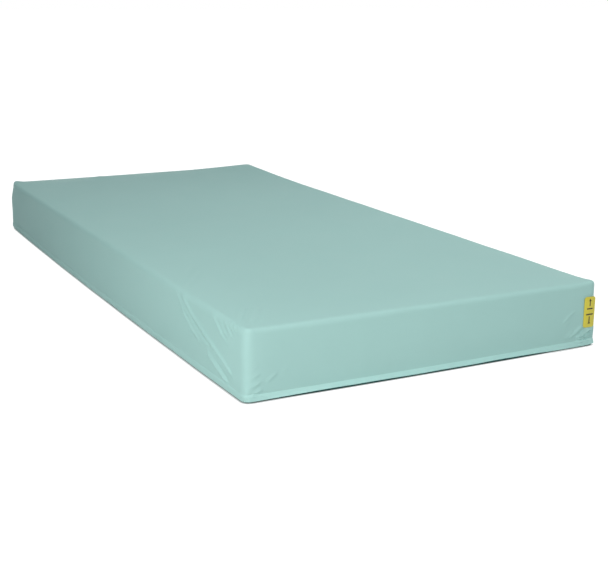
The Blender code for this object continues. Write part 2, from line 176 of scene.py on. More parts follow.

# %% [markdown]
# ## Light and floor
# The three near faces are about as bright as each other, and the light falls away along the mattress. An
# even, cool world lights every side a little. Soft, slightly warm panels stand to the left, in front and
# above, and two low strips light the far walls without reaching over the top. The floor is white to the
# camera. It keeps a small share of its shadow, and close to where the mattress touches it a painted contact
# shadow darkens it towards the colour of the cloth.

# %% World and soft panels
WORLD_LEVEL = 0.235
SHADE_TINT = (0.86, 1.0, 1.03)
PANEL_TINT = (1.09, 1.0, 0.97)
WHITE = (1.0, 1.0, 1.0)
# Each panel: its place, the point that it faces, its width and height, and its watts.
PANELS = {
    "left_panel": (Vector((-1.78, -1.27, 0.85)), Vector((-0.44, -0.86, 0.08)), (1.60, 0.7), 17.9),
    "front_panel": (Vector((-0.28, -2.75, 0.85)), Vector((-0.02, -0.95, 0.08)), (1.9, 0.7), 18.7),
    "top_panel": (Vector((0.85, -0.40, 2.30)), Vector((0.10, -0.10, 0.0)), (1.6, 1.6), 22.3),
    "rear_strip": (Vector((0.22, 2.40, 0.085)), Vector((0.10, 0.95, 0.085)), (1.1, 0.13), 7.0),
    "right_strip": (Vector((1.90, 0.20, 0.085)), Vector((0.45, 0.20, 0.085)), (2.2, 0.13), 9.0),
}


def seen_rays(wire):
    """1 for the rays that show a background to the eye or in a reflection, 0 for the rest."""
    path = wire.tree.nodes.new("ShaderNodeLightPath")
    total = Wire(wire.tree, path.outputs["Is Camera Ray"])
    for ray in ("Is Glossy Ray", "Is Transmission Ray"):
        total = total + Wire(wire.tree, path.outputs[ray])
    return total.at_most(1.0)


def soft_panel(name, place, target, size, watts):
    lamp = bpy.data.lights.new(name, "AREA")
    lamp.shape = "RECTANGLE"
    lamp.size, lamp.size_y = size
    lamp.energy = watts
    lamp.color = PANEL_TINT
    holder = bpy.data.objects.new(name, lamp)
    holder.location = place
    holder.rotation_euler = (target - place).to_track_quat("-Z", "Y").to_euler()
    holder.visible_camera = False
    bpy.context.scene.collection.objects.link(holder)
    return holder


world = bpy.data.worlds.new("studio")
world.use_nodes = True
bpy.context.scene.world = world
sky = Wire(world.node_tree)
background = world.node_tree.nodes["Background"]
seen = seen_rays(sky)
sky_level = seen * (1.0 - WORLD_LEVEL) + WORLD_LEVEL
sky.tree.links.new(seen.blend(SHADE_TINT, WHITE).socket, background.inputs["Color"])
sky.tree.links.new(sky_level.socket, background.inputs["Strength"])
for panel, values in PANELS.items():
    soft_panel(panel, *values)
print("world and", ", ".join(PANELS))

# %% Floor
FLOOR_SHADOW = 0.12
FLOOR_WHITE = 1.20
CONTACT_REACH = 0.006
# The colour of the painted contact shadow on the floor, tinted like the cloth.
FLOOR_CAST = (0.40, 0.70, 0.66)
FLOOR_PAPER = (0.58, 0.58, 0.58, 1.0)
FLOOR_HEIGHT = -0.0004
SHADOW_NEAR, SHADOW_FAR = 1.6, 4.5

bpy.ops.object.select_all(action="DESELECT")
bpy.ops.mesh.primitive_plane_add(size=STUDIO_SIZE, location=(0.0, 0.0, FLOOR_HEIGHT))
floor = bpy.context.object
floor.name = "floor"
paper, paper_surface, paper_material = finish("floor_paper", 0.9)
paper_surface.inputs["Base Color"].default_value = FLOOR_PAPER
spot = paper.node("ShaderNodeTexCoord", out=3)
away_from_middle = paper.node("ShaderNodeVectorMath", {"operation": "LENGTH"}, {0: spot}, 1)
shadow_ends = {"From Min": SHADOW_NEAR, "From Max": SHADOW_FAR, "To Min": FLOOR_SHADOW, "To Max": 0.0}
shadow_share = paper.node("ShaderNodeMapRange", None, {"Value": away_from_middle, **shadow_ends})
# Painted contact shadow: near the mattress the floor's white glow dims and turns towards the cloth's
# colour.
contact = paper.node("ShaderNodeAmbientOcclusion", None, {"Distance": CONTACT_REACH}, 1)
cast = contact.blend(FLOOR_CAST, WHITE)
glow = {"Color": cast, "Strength": contact * contact * FLOOR_WHITE}
white = paper.node("ShaderNodeEmission", None, glow)
lit = Wire(paper.tree, paper_surface.outputs[0])
white_share = seen_rays(paper) * (1 - shadow_share)
paper_mix = paper.node("ShaderNodeMixShader", None, {0: white_share, 1: lit, 2: white})
paper.tree.links.new(paper_mix.socket, paper.tree.nodes["Material Output"].inputs["Surface"])
floor.data.materials.append(paper_material)
print("floor keeps", FLOOR_SHADOW, "of the shadow")

# %% [markdown]
# ## Cloth, zip, label and foam finishes
# The cover is a knitted cloth with a thin stretch coating: matt, slightly waxy, with a very fine knit
# showing through and faint patchy handling marks. The flap's cloth is a little lighter than the cover's,
# and paler still along the foot end past the near corner: both are a painted highlight, for the light that
# the flap catches where it faces up. Foams are open cells, so they get pores.

# %% Cloth finishes
KNIT_PITCH = 0.0011
WAVE_TURN = 6.2832
# Where the painted highlight on the flap's foot end fades in, across and along.
FOOT_HIGHLIGHT_ACROSS = {"From Min": -0.444, "From Max": -0.412}
FOOT_HIGHLIGHT_ALONG = {"From Min": -0.925, "From Max": -0.945}


def coated_cloth(name, dark, light, roughness, knit=0.35, foot_highlight=0.0):
    """Stretch coated cloth: mottled colour, uneven gloss, a fine knit, and a painted highlight that pales
    the foot end when asked for.
    """
    wire, surface, material = finish(name, roughness, Specular_IOR_Level=0.12)
    place = wire.node("ShaderNodeTexCoord", out=3)
    patches = noise(wire, place, 2.6, 4.0, 0.55)
    smears = noise(wire, place, 17.0, 3.0, 0.6)
    mix = patches * 0.7 + smears * 0.3
    # Painted highlight: past the near corner, the flap's foot end blends towards the light colour.
    if foot_highlight:
        across = wire.node("ShaderNodeSeparateXYZ", None, {0: place}, 0)
        along = wire.node("ShaderNodeSeparateXYZ", None, {0: place}, 1)
        past_corner = wire.node("ShaderNodeMapRange", None, {"Value": across, **FOOT_HIGHLIGHT_ACROSS})
        at_foot = wire.node("ShaderNodeMapRange", None, {"Value": along, "To Max": foot_highlight, **FOOT_HIGHLIGHT_ALONG})
        mix = mix * (1.0 - foot_highlight) + past_corner * at_foot
    plug(mix.blend(dark, light), surface, "Base Color")
    plug(smears * 0.16 + (roughness - 0.08), surface, "Roughness")
    lines = {"Scale": 1.0 / KNIT_PITCH / WAVE_TURN * 2.0, "Distortion": 0.6, "Detail": 1.0}
    warp = wire.node("ShaderNodeTexWave", {"bands_direction": "X"}, {"Vector": place, **lines})
    weft = wire.node("ShaderNodeTexWave", {"bands_direction": "Y"}, {"Vector": place, **lines})
    rise = wire.node("ShaderNodeTexWave", {"bands_direction": "Z"}, {"Vector": place, **lines})
    orange_peel = noise(wire, place, 420.0, 2.0)
    bumped(wire, surface, (warp + weft + rise) * knit + orange_peel, 0.22, 0.0004)
    return material


cover_cloth = coated_cloth("cover_cloth", (0.350, 0.598, 0.574), (0.385, 0.648, 0.622), 0.55)
# The flap's cloth is lighter than the cover's and takes the painted highlight along the foot end.
flap_cloth = coated_cloth("flap_cloth", (0.356, 0.606, 0.582), (0.442, 0.742, 0.714), 0.52, foot_highlight=0.55)
# The base cloth's very dark colour is partly its own and partly painted shade for the gap under the flap.
base_cloth = coated_cloth("base_cloth", (0.024, 0.110, 0.104), (0.036, 0.142, 0.134), 0.62, 0.7)
print("coated cloths:", cover_cloth.name, flap_cloth.name, base_cloth.name)


# %% Zip, label and thread finishes
def woven(name, dark, light, pitch):
    """Plain woven tape or twisted thread."""
    wire, surface, material = finish(name, 0.8, Sheen_Weight=0.2)
    place = wire.node("ShaderNodeTexCoord", out=3)
    lines = {"Scale": 2.0 / pitch / WAVE_TURN, "Distortion": 0.2, "Detail": 0.0}
    warp = wire.node("ShaderNodeTexWave", {"bands_direction": "DIAGONAL"}, {"Vector": place, **lines})
    weft = wire.node("ShaderNodeTexWave", {"bands_direction": "Z"}, {"Vector": place, **lines})
    weave = warp * 0.5 + weft * 0.5
    plug(weave.blend(dark, light), surface, "Base Color")
    bumped(wire, surface, weave, 0.5, 0.0003)
    return material


def moulded(name, dark, light, roughness, grain=900.0):
    """Moulded or printed plastic with a faint grain."""
    wire, surface, material = finish(name, roughness)
    place = wire.node("ShaderNodeTexCoord", out=3)
    patches = noise(wire, place, 60.0, 3.0)
    plug(patches.blend(dark, light), surface, "Base Color")
    plug(patches * 0.18 + (roughness - 0.09), surface, "Roughness")
    bumped(wire, surface, noise(wire, place, grain, 2.0), 0.12, 0.0002)
    return material


def cast_metal(name, dark, light):
    """Tumbled zinc: bright where it is rubbed, duller in patches."""
    wire, surface, material = finish(name, 0.32, 1.0)
    place = wire.node("ShaderNodeTexCoord", out=3)
    wear = noise(wire, place, 700.0, 4.0, 0.6)
    plug(wear.blend(dark, light), surface, "Base Color")
    plug(wear * 0.25 + 0.22, surface, "Roughness")
    bumped(wire, surface, noise(wire, place, 2400.0, 2.0), 0.1, 0.0001)
    return material


tape_weave = woven("tape_weave", (0.060, 0.170, 0.155), (0.100, 0.240, 0.220), 0.0009)
thread = woven("thread", (0.330, 0.560, 0.520), (0.450, 0.690, 0.650), 0.0006)
coil_nylon = moulded("coil_nylon", (0.085, 0.220, 0.200), (0.120, 0.280, 0.260), 0.38)
label_vinyl = moulded("label_vinyl", (0.600, 0.545, 0.045), (0.680, 0.620, 0.070), 0.42)
label_ink = moulded("label_ink", (0.020, 0.018, 0.006), (0.034, 0.030, 0.010), 0.5)
zinc = cast_metal("zinc", (0.52, 0.53, 0.54), (0.74, 0.75, 0.76))
print("zip, label and thread finishes")


# %% Foam finishes
def open_foam(name, dark, light):
    """Cut foam: fine pores, a few larger cells and soft mottling."""
    wire, surface, material = finish(name, 0.95, Sheen_Weight=0.15, Specular_IOR_Level=0.2)
    place = wire.node("ShaderNodeTexCoord", out=3)
    cells = wire.node("ShaderNodeTexVoronoi", None, {"Vector": place, "Scale": 520.0})
    pores = noise(wire, place, 900.0, 2.0)
    patches = noise(wire, place, 6.0, 3.0)
    tone = cells * 0.45 + pores * 0.35 + patches * 0.2
    plug(tone.blend(dark, light), surface, "Base Color")
    bumped(wire, surface, cells * 0.6 + pores * 0.6, 0.5, 0.0008)
    return material


base_foam = open_foam("base_foam", (0.55, 0.54, 0.50), (0.80, 0.79, 0.75))
edge_foam = open_foam("edge_foam", (0.26, 0.36, 0.48), (0.46, 0.58, 0.70))
zone_foam = open_foam("zone_foam", (0.60, 0.55, 0.38), (0.86, 0.82, 0.64))
print("foams:", base_foam.name, edge_foam.name, zone_foam.name)

# %% [markdown]
# ## Sizes and the path round the bottom edge
# Every sewn strip follows the same rounded rectangle. A walk round it gives, for a distance from the
# middle of the zip's side, the point that the outline turns about and the way outward there.

# %% Sizes and the edge walk
LENGTH = 1.905
WIDTH = 0.889
EDGE_HEIGHT = 0.1525
CORNER = 0.022
HALF_X = WIDTH / 2 - CORNER
HALF_Y = LENGTH / 2 - CORNER
QUARTER = math.pi / 2 * CORNER

runs = [HALF_Y, HALF_Y, QUARTER, 2 * HALF_X, QUARTER, 2 * HALF_Y, QUARTER, 2 * HALF_X, QUARTER, HALF_Y]
walk_marks = np.concatenate([[0.0], np.cumsum(runs)]) - HALF_Y
walk_x = np.array([1, 1, 1, 1, -1, -1, -1, -1, 1, 1, 1]) * HALF_X
walk_y = np.array([1, 0, -1, -1, -1, -1, 1, 1, 1, 1, 0]) * HALF_Y
walk_angle = -np.radians([0, 0, 0, 90, 90, 180, 180, 270, 270, 360, 360])
HEAD_CORNER_WALK = walk_marks[8]
FULL_WALK = walk_marks[-1]


def walk(distance):
    """Centres and outward directions at these distances round the edge."""
    x, y, angle = (np.interp(distance, walk_marks, marked) for marked in (walk_x, walk_y, walk_angle))
    return np.stack([x, y], axis=1), np.stack([np.cos(angle), np.sin(angle)], axis=1)


def walk_steps(first, last, stride=0.012, corner_steps=9):
    """Distances from first to last, closer together round the corners."""
    steps = [first, last]
    for low, high, turn in zip(walk_marks, walk_marks[1:], np.diff(walk_angle)):
        count = corner_steps if turn else max(int((high - low) / stride), 1)
        steps.extend(np.linspace(low, high, count + 1))
    return np.unique(np.round([step for step in steps if first <= step <= last], 6))


def outward(flat):
    """Centres and outward directions of points that lie on an outline."""
    reach = np.array([HALF_X, HALF_Y])
    centre = np.clip(flat, -reach, reach)
    away = flat - centre
    return centre, away / np.maximum(np.linalg.norm(away, axis=1, keepdims=True), 1e-9)


print(f"edge walk of {FULL_WALK:.2f} m")

# %% [markdown]
# ## Small modelling helpers
# Most pieces start as a grid or another primitive, are shaped in edit mode, and are finished by applied
# modifiers. These helpers keep each of those steps to one line further down.


# %% Points and selections
def read_points(piece):
    points = np.empty(len(piece.data.vertices) * 3)
    piece.data.vertices.foreach_get("co", points)
    return points.reshape(-1, 3)


def write_points(piece, points):
    piece.data.vertices.foreach_set("co", np.ascontiguousarray(points, dtype=np.float32).ravel())
    piece.data.update()


def mode(name):
    bpy.ops.object.mode_set(mode=name)


def only(piece):
    """Makes a piece the one selected and active object."""
    bpy.ops.object.select_all(action="DESELECT")
    piece.select_set(True)
    bpy.context.view_layer.objects.active = piece


def named(name):
    """Names the object that was just made."""
    piece = bpy.context.object
    piece.name = piece.data.name = name
    return piece


def add(name, primitive, **settings):
    """Adds a primitive with nothing else selected."""
    bpy.ops.object.select_all(action="DESELECT")
    primitive(**settings)
    return named(name)


def settle(piece):
    """Puts an object's place, turn and size into its mesh."""
    only(piece)
    bpy.ops.object.transform_apply(location=True, rotation=True, scale=True)


def add_box(name, middle, size):
    box = add(name, bpy.ops.mesh.primitive_cube_add, size=1.0, location=middle)
    box.dimensions = size
    settle(box)
    return box


def pick(piece, test, kind="FACE"):
    """In edit mode, selects the faces or edges that pass a test of their middle and direction."""
    bpy.ops.mesh.select_mode(type=kind)
    bpy.ops.mesh.select_all(action="DESELECT")
    shape = bmesh.from_edit_mesh(piece.data)
    for part in shape.faces if kind == "FACE" else shape.edges:
        middle = sum((corner.co for corner in part.verts), Vector()) / len(part.verts)
        way = part.normal if kind == "FACE" else (part.verts[1].co - part.verts[0].co).normalized()
        part.select_set(bool(test(middle, way)))
    bmesh.update_edit_mesh(piece.data)


def apply_modifier(piece, kind, **settings):
    only(piece)
    step = piece.modifiers.new(kind.lower(), kind)
    for name, value in settings.items():
        setattr(step, name, value)
    bpy.ops.object.modifier_apply(modifier=step.name)


def soften(piece, width):
    """Bevels the sharp edges of a piece."""
    limit = {"limit_method": "ANGLE", "angle_limit": math.radians(50)}
    apply_modifier(piece, "BEVEL", width=width, segments=2, **limit)


def extrude(*way):
    """In edit mode, extrudes the selection by a move."""
    bpy.ops.mesh.extrude_region_move(TRANSFORM_OT_translate={"value": way})


def shade(piece, angle):
    only(piece)
    bpy.ops.object.shade_smooth_by_angle(angle=math.radians(angle))


def dress(piece, material, body, slot, *nodes):
    """Gives a finished piece its material and its body, and hides the CAD nodes that it stands for; slot is
    not used.
    """
    piece.data.materials.clear()
    piece.data.materials.append(material)
    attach(piece, body)
    if nodes:
        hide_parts(*nodes)
    print(f"{piece.name}: {len(piece.data.polygons)} faces on {body}")
    return piece


print("selection helpers ready")


# %% Grids, boxes of cloth and strips
def spaced(stops):
    """Line positions from (position, spacing to the next stop) pairs."""
    lines = []
    for (low, gap), (high, _) in zip(stops, stops[1:]):
        lines.extend(np.linspace(low, high, max(round((high - low) / gap), 1), endpoint=False))
    return np.array(lines + [stops[-1][0]])


def lattice(name, columns, lines):
    """A grid whose points are then placed by column and line number."""
    counts = {"x_subdivisions": columns - 1, "y_subdivisions": lines - 1}
    piece = add(name, bpy.ops.mesh.primitive_grid_add, size=2.0, **counts)
    points = read_points(piece)
    column = np.rint((points[:, 0] + 1) / 2 * (columns - 1)).astype(int)
    line = np.rint((points[:, 1] + 1) / 2 * (lines - 1)).astype(int)
    return piece, column, line


def face_out(piece):
    only(piece)
    mode("EDIT")
    bpy.ops.mesh.select_all(action="SELECT")
    bpy.ops.mesh.normals_make_consistent(inside=False)
    mode("OBJECT")


def close_body(piece):
    """Fills the last open rim and turns every face outward."""
    only(piece)
    mode("EDIT")
    bpy.ops.mesh.select_mode(type="EDGE")
    bpy.ops.mesh.select_all(action="DESELECT")
    bpy.ops.mesh.select_non_manifold()
    bpy.ops.mesh.edge_face_add()
    mode("OBJECT")
    face_out(piece)


def cloth_box(name, across_lines, along_lines, panel_height, rows):
    """A rounded panel with its rim turned over the edge through rows of (inset, height)."""
    piece, column, line = lattice(name, len(across_lines), len(along_lines))
    flat = np.stack([across_lines[column], along_lines[line]], axis=1)
    centre, away = outward(flat)
    in_corner = np.all(np.abs(flat - centre) > 1e-9, axis=1)
    reach = np.max(np.abs(flat - centre), axis=1, keepdims=True)
    flat = np.where(in_corner[:, None], centre + away * reach, flat)
    write_points(piece, np.column_stack([flat, np.full(len(flat), panel_height)]))
    mode("EDIT")
    bpy.ops.mesh.select_mode(type="EDGE")
    bpy.ops.mesh.select_all(action="SELECT")
    bpy.ops.mesh.region_to_loop()
    for inset, height in rows:
        bpy.ops.mesh.extrude_region()
        shape = bmesh.from_edit_mesh(piece.data)
        rim = [corner for corner in shape.verts if corner.select]
        middle, away = outward(np.array([corner.co[:2] for corner in rim]))
        place = middle + away * (CORNER - inset)
        for corner, (x, y) in zip(rim, place):
            corner.co = (x, y, height)
        bmesh.update_edit_mesh(piece.data)
    mode("OBJECT")
    face_out(piece)
    return piece


def strip(name, steps, rows):
    """A strip of cloth along the edge walk, facing outward, from rows of (inset, height), top first."""
    piece, column, row = lattice(name, len(steps), len(rows))
    centre, away = walk(steps)
    profile = np.array(rows)[::-1]
    flat = centre[column] + away[column] * (CORNER - profile[row, 0])[:, None]
    write_points(piece, np.column_stack([flat, profile[row, 1]]))
    mode("EDIT")
    bpy.ops.mesh.select_all(action="SELECT")
    bpy.ops.mesh.flip_normals()
    mode("OBJECT")
    return piece


def unevenness(points, seed, wavelengths, height):
    """A smooth uneven field, the sum of a few long waves in fixed random directions."""
    draw = np.random.default_rng(seed)
    field = np.zeros(len(points))
    for wavelength in wavelengths:
        way = draw.normal(size=3)
        way /= np.linalg.norm(way)
        field += np.sin(points @ way * 2 * math.pi / wavelength + draw.uniform(0, 2 * math.pi))
    return field * height / len(wavelengths)


print("grid helpers ready")

# %% [markdown]
# ## The foam core
# Inside the cover lie a firm base slab, a collar of four firmer bolsters that people sit on, and three
# zones of soft castellated foam. Foam is cut with a wire or a blade, so faces are flat and only the edges
# go soft: each piece is blocked out sharp and then bevelled.

# %% Base slab
FOAM_INSET = 0.0040
SLAB_FLOOR = 0.0013
SLAB_TOP = 0.0563
REBATE_TOP = 0.0180
REBATE_INSET = 0.0053
SLAB_SOFT = 0.0020

slab_x = WIDTH / 2 - FOAM_INSET - SLAB_SOFT
slab_y = LENGTH / 2 - FOAM_INSET - SLAB_SOFT
slab_rows = [
    (FOAM_INSET + 0.0006, SLAB_TOP - 0.0006), (FOAM_INSET, SLAB_TOP - SLAB_SOFT),
    (FOAM_INSET, REBATE_TOP), (REBATE_INSET, REBATE_TOP), (REBATE_INSET, SLAB_FLOOR + SLAB_SOFT),
    (REBATE_INSET + 0.0006, SLAB_FLOOR + 0.0006), (REBATE_INSET + SLAB_SOFT, SLAB_FLOOR),
]
slab = cloth_box(
    "slab_foam",
    spaced([(-slab_x, 0.004), (-HALF_X, 0.06), (HALF_X, 0.004), (slab_x, 0)]),
    spaced([(-slab_y, 0.004), (-HALF_Y, 0.06), (HALF_Y, 0.004), (slab_y, 0)]),
    SLAB_TOP, slab_rows)
close_body(slab)
shade(slab, 50.0)
dress(slab, base_foam, "foam_core", "base_foam", "foam_base_slab")

# %% Bolsters
BOLSTER_SOFT = 0.019
BOLSTER_CORNER = 0.026
BOLSTER_RIM = 0.014
BOLSTER_EDGE = 0.0016


def bolster(node):
    """A foam beam in the CAD node's box, rounded only where it meets the cover."""
    low, high = (Vector(corner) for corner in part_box(node))
    beam = add_box(node.replace("foam_bolster", "bolster"), (low + high) / 2, high - low)
    outer_x = WIDTH / 2 - FOAM_INSET - 1e-4
    outer_y = LENGTH / 2 - FOAM_INSET - 1e-4

    def at_corner(middle, way):
        return abs(way.z) > 0.9 and abs(middle.x) > outer_x and abs(middle.y) > outer_y

    mode("EDIT")
    pick(beam, at_corner, "EDGE")
    if any(edge.select for edge in bmesh.from_edit_mesh(beam.data).edges):
        bpy.ops.mesh.bevel(offset=BOLSTER_CORNER, segments=6)

    def on_rim(middle, way):
        centre_x = max(-HALF_X, min(HALF_X, middle.x))
        centre_y = max(-HALF_Y, min(HALF_Y, middle.y))
        away = Vector((middle.x - centre_x, middle.y - centre_y))
        return middle.z > high.z - 1e-5 and away.length > BOLSTER_RIM

    pick(beam, on_rim, "EDGE")
    bpy.ops.mesh.bevel(offset=BOLSTER_SOFT, segments=5)
    mode("OBJECT")
    soften(beam, BOLSTER_EDGE)
    shade(beam, 40.0)
    dress(beam, edge_foam, "foam_core", "edge_foam", node)
    return beam


bolsters = [bolster(f"foam_bolster_{side}") for side in ("left", "right", "foot", "head")]

# %% [markdown]
# ## Castellated zones
# Grooves cut both ways leave a field of free-standing blocks, smaller under the head and heels, that tilt
# and sink one by one. A grid with a line on each side of every groove is laid at the groove's floor, the
# faces of the blocks are extruded up together, and the outer rim is extruded down to close the slab.

# %% Castellated zones
GROOVE_WIDTH = 0.006
GROOVE_DEPTH = 0.048
BLOCK_SOFT = 0.0024
BLOCK_CROWN = 0.0006
ZONES = {"foam_heel_zone": (8, 6), "foam_torso_zone": (6, 7), "foam_head_zone": (8, 5)}


def block_lines(low, high, count):
    """Lines at both sides of each groove and three inside each block, and the grooves' middles."""
    pitch = (high - low) / count
    grooves = [low + pitch * step for step in range(1, count)]
    sides = [low]
    for groove in grooves:
        sides += [groove - GROOVE_WIDTH / 2, groove + GROOVE_WIDTH / 2]
    sides.append(high)
    lines = []
    for start, end in zip(sides[::2], sides[1::2]):
        lines.extend(np.linspace(start, end, 5))
    return np.array(lines), np.array(grooves)


def castellated(node, across, along):
    """A zone in the CAD node's box, with this many blocks across and along."""
    low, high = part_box(node)
    lines_x, grooves_x = block_lines(low[0], high[0], across)
    lines_y, grooves_y = block_lines(low[1], high[1], along)
    name = node.replace("foam_", "zone_").removesuffix("_zone")
    zone, column, line = lattice(name, len(lines_x), len(lines_y))
    groove_floor = np.full(len(column), high[2] - GROOVE_DEPTH)
    write_points(zone, np.column_stack([lines_x[column], lines_y[line], groove_floor]))

    def on_block(middle, way):
        off_x = min(np.abs(grooves_x - middle.x))
        off_y = min(np.abs(grooves_y - middle.y))
        return min(off_x, off_y) > GROOVE_WIDTH / 2

    mode("EDIT")
    pick(zone, on_block)
    extrude(0.0, 0.0, GROOVE_DEPTH)
    bpy.ops.mesh.select_mode(type="EDGE")
    bpy.ops.mesh.select_all(action="DESELECT")
    bpy.ops.mesh.select_non_manifold()
    extrude(0.0, 0.0, low[2] - high[2] + GROOVE_DEPTH)
    mode("OBJECT")
    close_body(zone)
    soften(zone, BLOCK_SOFT)
    points = read_points(zone)
    pitch_x, pitch_y = (high[0] - low[0]) / across, (high[1] - low[1]) / along
    arch_x = np.sin(math.pi * (points[:, 0] - low[0]) / pitch_x)
    arch_y = np.sin(math.pi * (points[:, 1] - low[1]) / pitch_y)
    dome = np.abs(arch_x * arch_y)
    points[:, 2] += BLOCK_CROWN * dome * (points[:, 2] > high[2] - 0.001)
    write_points(zone, points)
    shade(zone, 35.0)
    dress(zone, zone_foam, "foam_insert", "zone_foam", node)
    return zone


for node, blocks in ZONES.items():
    castellated(node, *blocks)

# %% [markdown]
# ## The top cover
# One smooth skin: a panel with a slight crown, rounded edges, and walls that bulge a little before they
# turn under at the hem. The panel starts as a grid, its rim is extruded down row by row, and the points
# are closer together by the edges and the near corners, where the folds are.

# %% Top cover, plain
CROWN = 0.003
WALL_BULGE = 0.0016
WALL_FOOT = 0.020
TOP_EDGE = 0.016
HEM_HEIGHT = 0.0147
HEM_TURN = 0.0029
HEM_TOP = 0.0175
HEM_START = 0.0172
WALL_ROWS = 44
EDGE_ROWS = 8
CROWN_INSETS = [TOP_EDGE, 0.05, 0.10, 0.20, 0.38]
CROWN_SHARES = [0.0, 0.45, 0.75, 0.95, 1.0]

edge_x = WIDTH / 2 - TOP_EDGE
edge_y = LENGTH / 2 - TOP_EDGE
across_lines = spaced([
    (-edge_x, 0.0015), (-HALF_X, 0.0032), (-HALF_X + 0.08, 0.016),
    (HALF_X - 0.11, 0.0026), (HALF_X, 0.0015), (edge_x, 0),
])
along_lines = spaced([
    (-edge_y, 0.0015), (-HALF_Y, 0.0020), (-HALF_Y + 0.18, 0.0032), (-HALF_Y + 0.36, 0.016),
    (HALF_Y - 0.10, 0.006), (HALF_Y, 0.0015), (edge_y, 0),
])

wall_top = EDGE_HEIGHT - TOP_EDGE
rows = []
for step in range(1, EDGE_ROWS + 1):
    angle = math.pi / 2 * step / EDGE_ROWS
    rows.append((TOP_EDGE * (1 - math.sin(angle)), wall_top + TOP_EDGE * math.cos(angle)))
for step in range(WALL_ROWS - 1, -1, -1):
    share = step / WALL_ROWS
    rows.append((-WALL_BULGE * math.sin(math.pi * share), WALL_FOOT + share * (wall_top - WALL_FOOT)))
rows += [(0.0, HEM_START), (0.0, HEM_HEIGHT), (HEM_TURN, HEM_HEIGHT), (HEM_TURN, HEM_TOP)]
cover = cloth_box("cover_skin", across_lines, along_lines, EDGE_HEIGHT, rows)

rest = read_points(cover)
on_top = rest[:, 2] > EDGE_HEIGHT - 1e-6
inset = np.minimum(WIDTH / 2 - np.abs(rest[:, 0]), LENGTH / 2 - np.abs(rest[:, 1]))
crown = CROWN * np.interp(inset, CROWN_INSETS, CROWN_SHARES)
shaped = rest.copy()
shaped[on_top, 2] += crown[on_top]
print("cover points:", len(shaped))

# %% [markdown]
# ## How the filled cover sits
# The foam doesn't fill every corner alike. Each upright edge has its own roundness at its foot and at its
# top, and each top corner stands up as a small peak. Half way along, the near side and the foot end lean
# out at the floor. Towards the head the near side is drawn in and its hem lifts, and by the near corner
# both walls hang slack. Every sewn piece round the foot takes the same shifts, and so do the outer faces
# of the bolsters and the near half of the slab, so that they stay with the cover.

# %% Corners, peaks, bow and slack
SIDE_BOW = 0.0090
FOOT_BOW = 0.0050
FOOT_END, HEAD_END = -LENGTH / 2, LENGTH / 2
NEAR_SIDE, ZIP_SIDE = -WIDTH / 2, WIDTH / 2
# Roundness of each upright edge, low and high: 2 is a circle, more is tighter and less is blunter.
CORNER_POWER = {
    (NEAR_SIDE, FOOT_END): (3.2, 2.6),
    (ZIP_SIDE, FOOT_END): (6.0, 3.2),
    (NEAR_SIDE, HEAD_END): (1.4, 2.6),
    (ZIP_SIDE, HEAD_END): (3.0, 3.4),
}
# Each top corner's place, its shift, and how far the shift reaches across and along.
PEAKS = [
    ((NEAR_SIDE, FOOT_END), (-0.0015, -0.0015, 0.0022), (0.020, 0.020)),
    ((ZIP_SIDE, FOOT_END), (0.0006, -0.0010, 0.0030), (0.024, 0.024)),
    ((NEAR_SIDE, HEAD_END), (0.0085, -0.0030, 0.0056), (0.030, 0.030)),
    ((ZIP_SIDE, HEAD_END), (-0.0015, 0.0010, 0.0068), (0.150, 0.220)),
]
EDGE_POWER, CORNER_EDGE_POWER = 2.7, 4.0
EDGE_REACH = 0.045
HEAD_PULL = 0.0024
LOW_FULLNESS = 0.0040
CORNER_SLACK = 0.0040
HEM_RISE = 0.0060
SLACK_REACH = 0.055
SIDE_SLACK = 0.0030
SIDE_SLACK_REACH = 0.10
HEM_REACH = 0.075
LOW_REACH = 0.030
FOAM_SHELL = 0.02
# Where a change starts and the distance that it takes, over height, along or outward.
UPRIGHT_HEIGHTS = (0.020, 0.090)
PEAK_HEIGHTS = (0.095, 0.055)
BOW_HEIGHTS = (0.010, 0.120)
PULL_HEIGHTS = (0.020, 0.050)
FULL_HEIGHTS = (0.030, 0.050)
HEM_HEIGHTS = (0.0, 0.060)
SLACK_HEIGHTS = (0.015, 0.040)
PULL_ALONG = (0.55, 0.38)
NEAR_SIDE_OUT = (0.38, 0.05)
FOOT_END_OUT = (0.89, 0.05)
print(f"the near side leans out {SIDE_BOW * 1000:.0f} mm, the foot end {FOOT_BOW * 1000:.0f} mm")


# %% Smooth steps and patches
def ease(value):
    """0 below 0, 1 above 1 and a smooth step between."""
    value = np.clip(value, 0.0, 1.0)
    return value * value * (3.0 - 2.0 * value)


def past(value, start, span):
    """0 before the start, 1 after the span and a smooth step between."""
    return ease((value - start) / span)


def falloff(distance, reach):
    """1 at no distance, falling to 0 at the reach."""
    return np.clip(1 - distance / reach, 0, 1) ** 2


def round_patch(x, y, wide, long):
    """1 at the origin, falling away softly across and along."""
    return np.exp(-((x / wide) ** 2) - (y / long) ** 2)


def bowed(place, length):
    """0 at the ends of a length and 1 at its middle."""
    return np.clip(1 - (2 * place / length) ** 2, 0, 1)


print("half way up a smooth step:", ease(np.array([0.5]))[0])


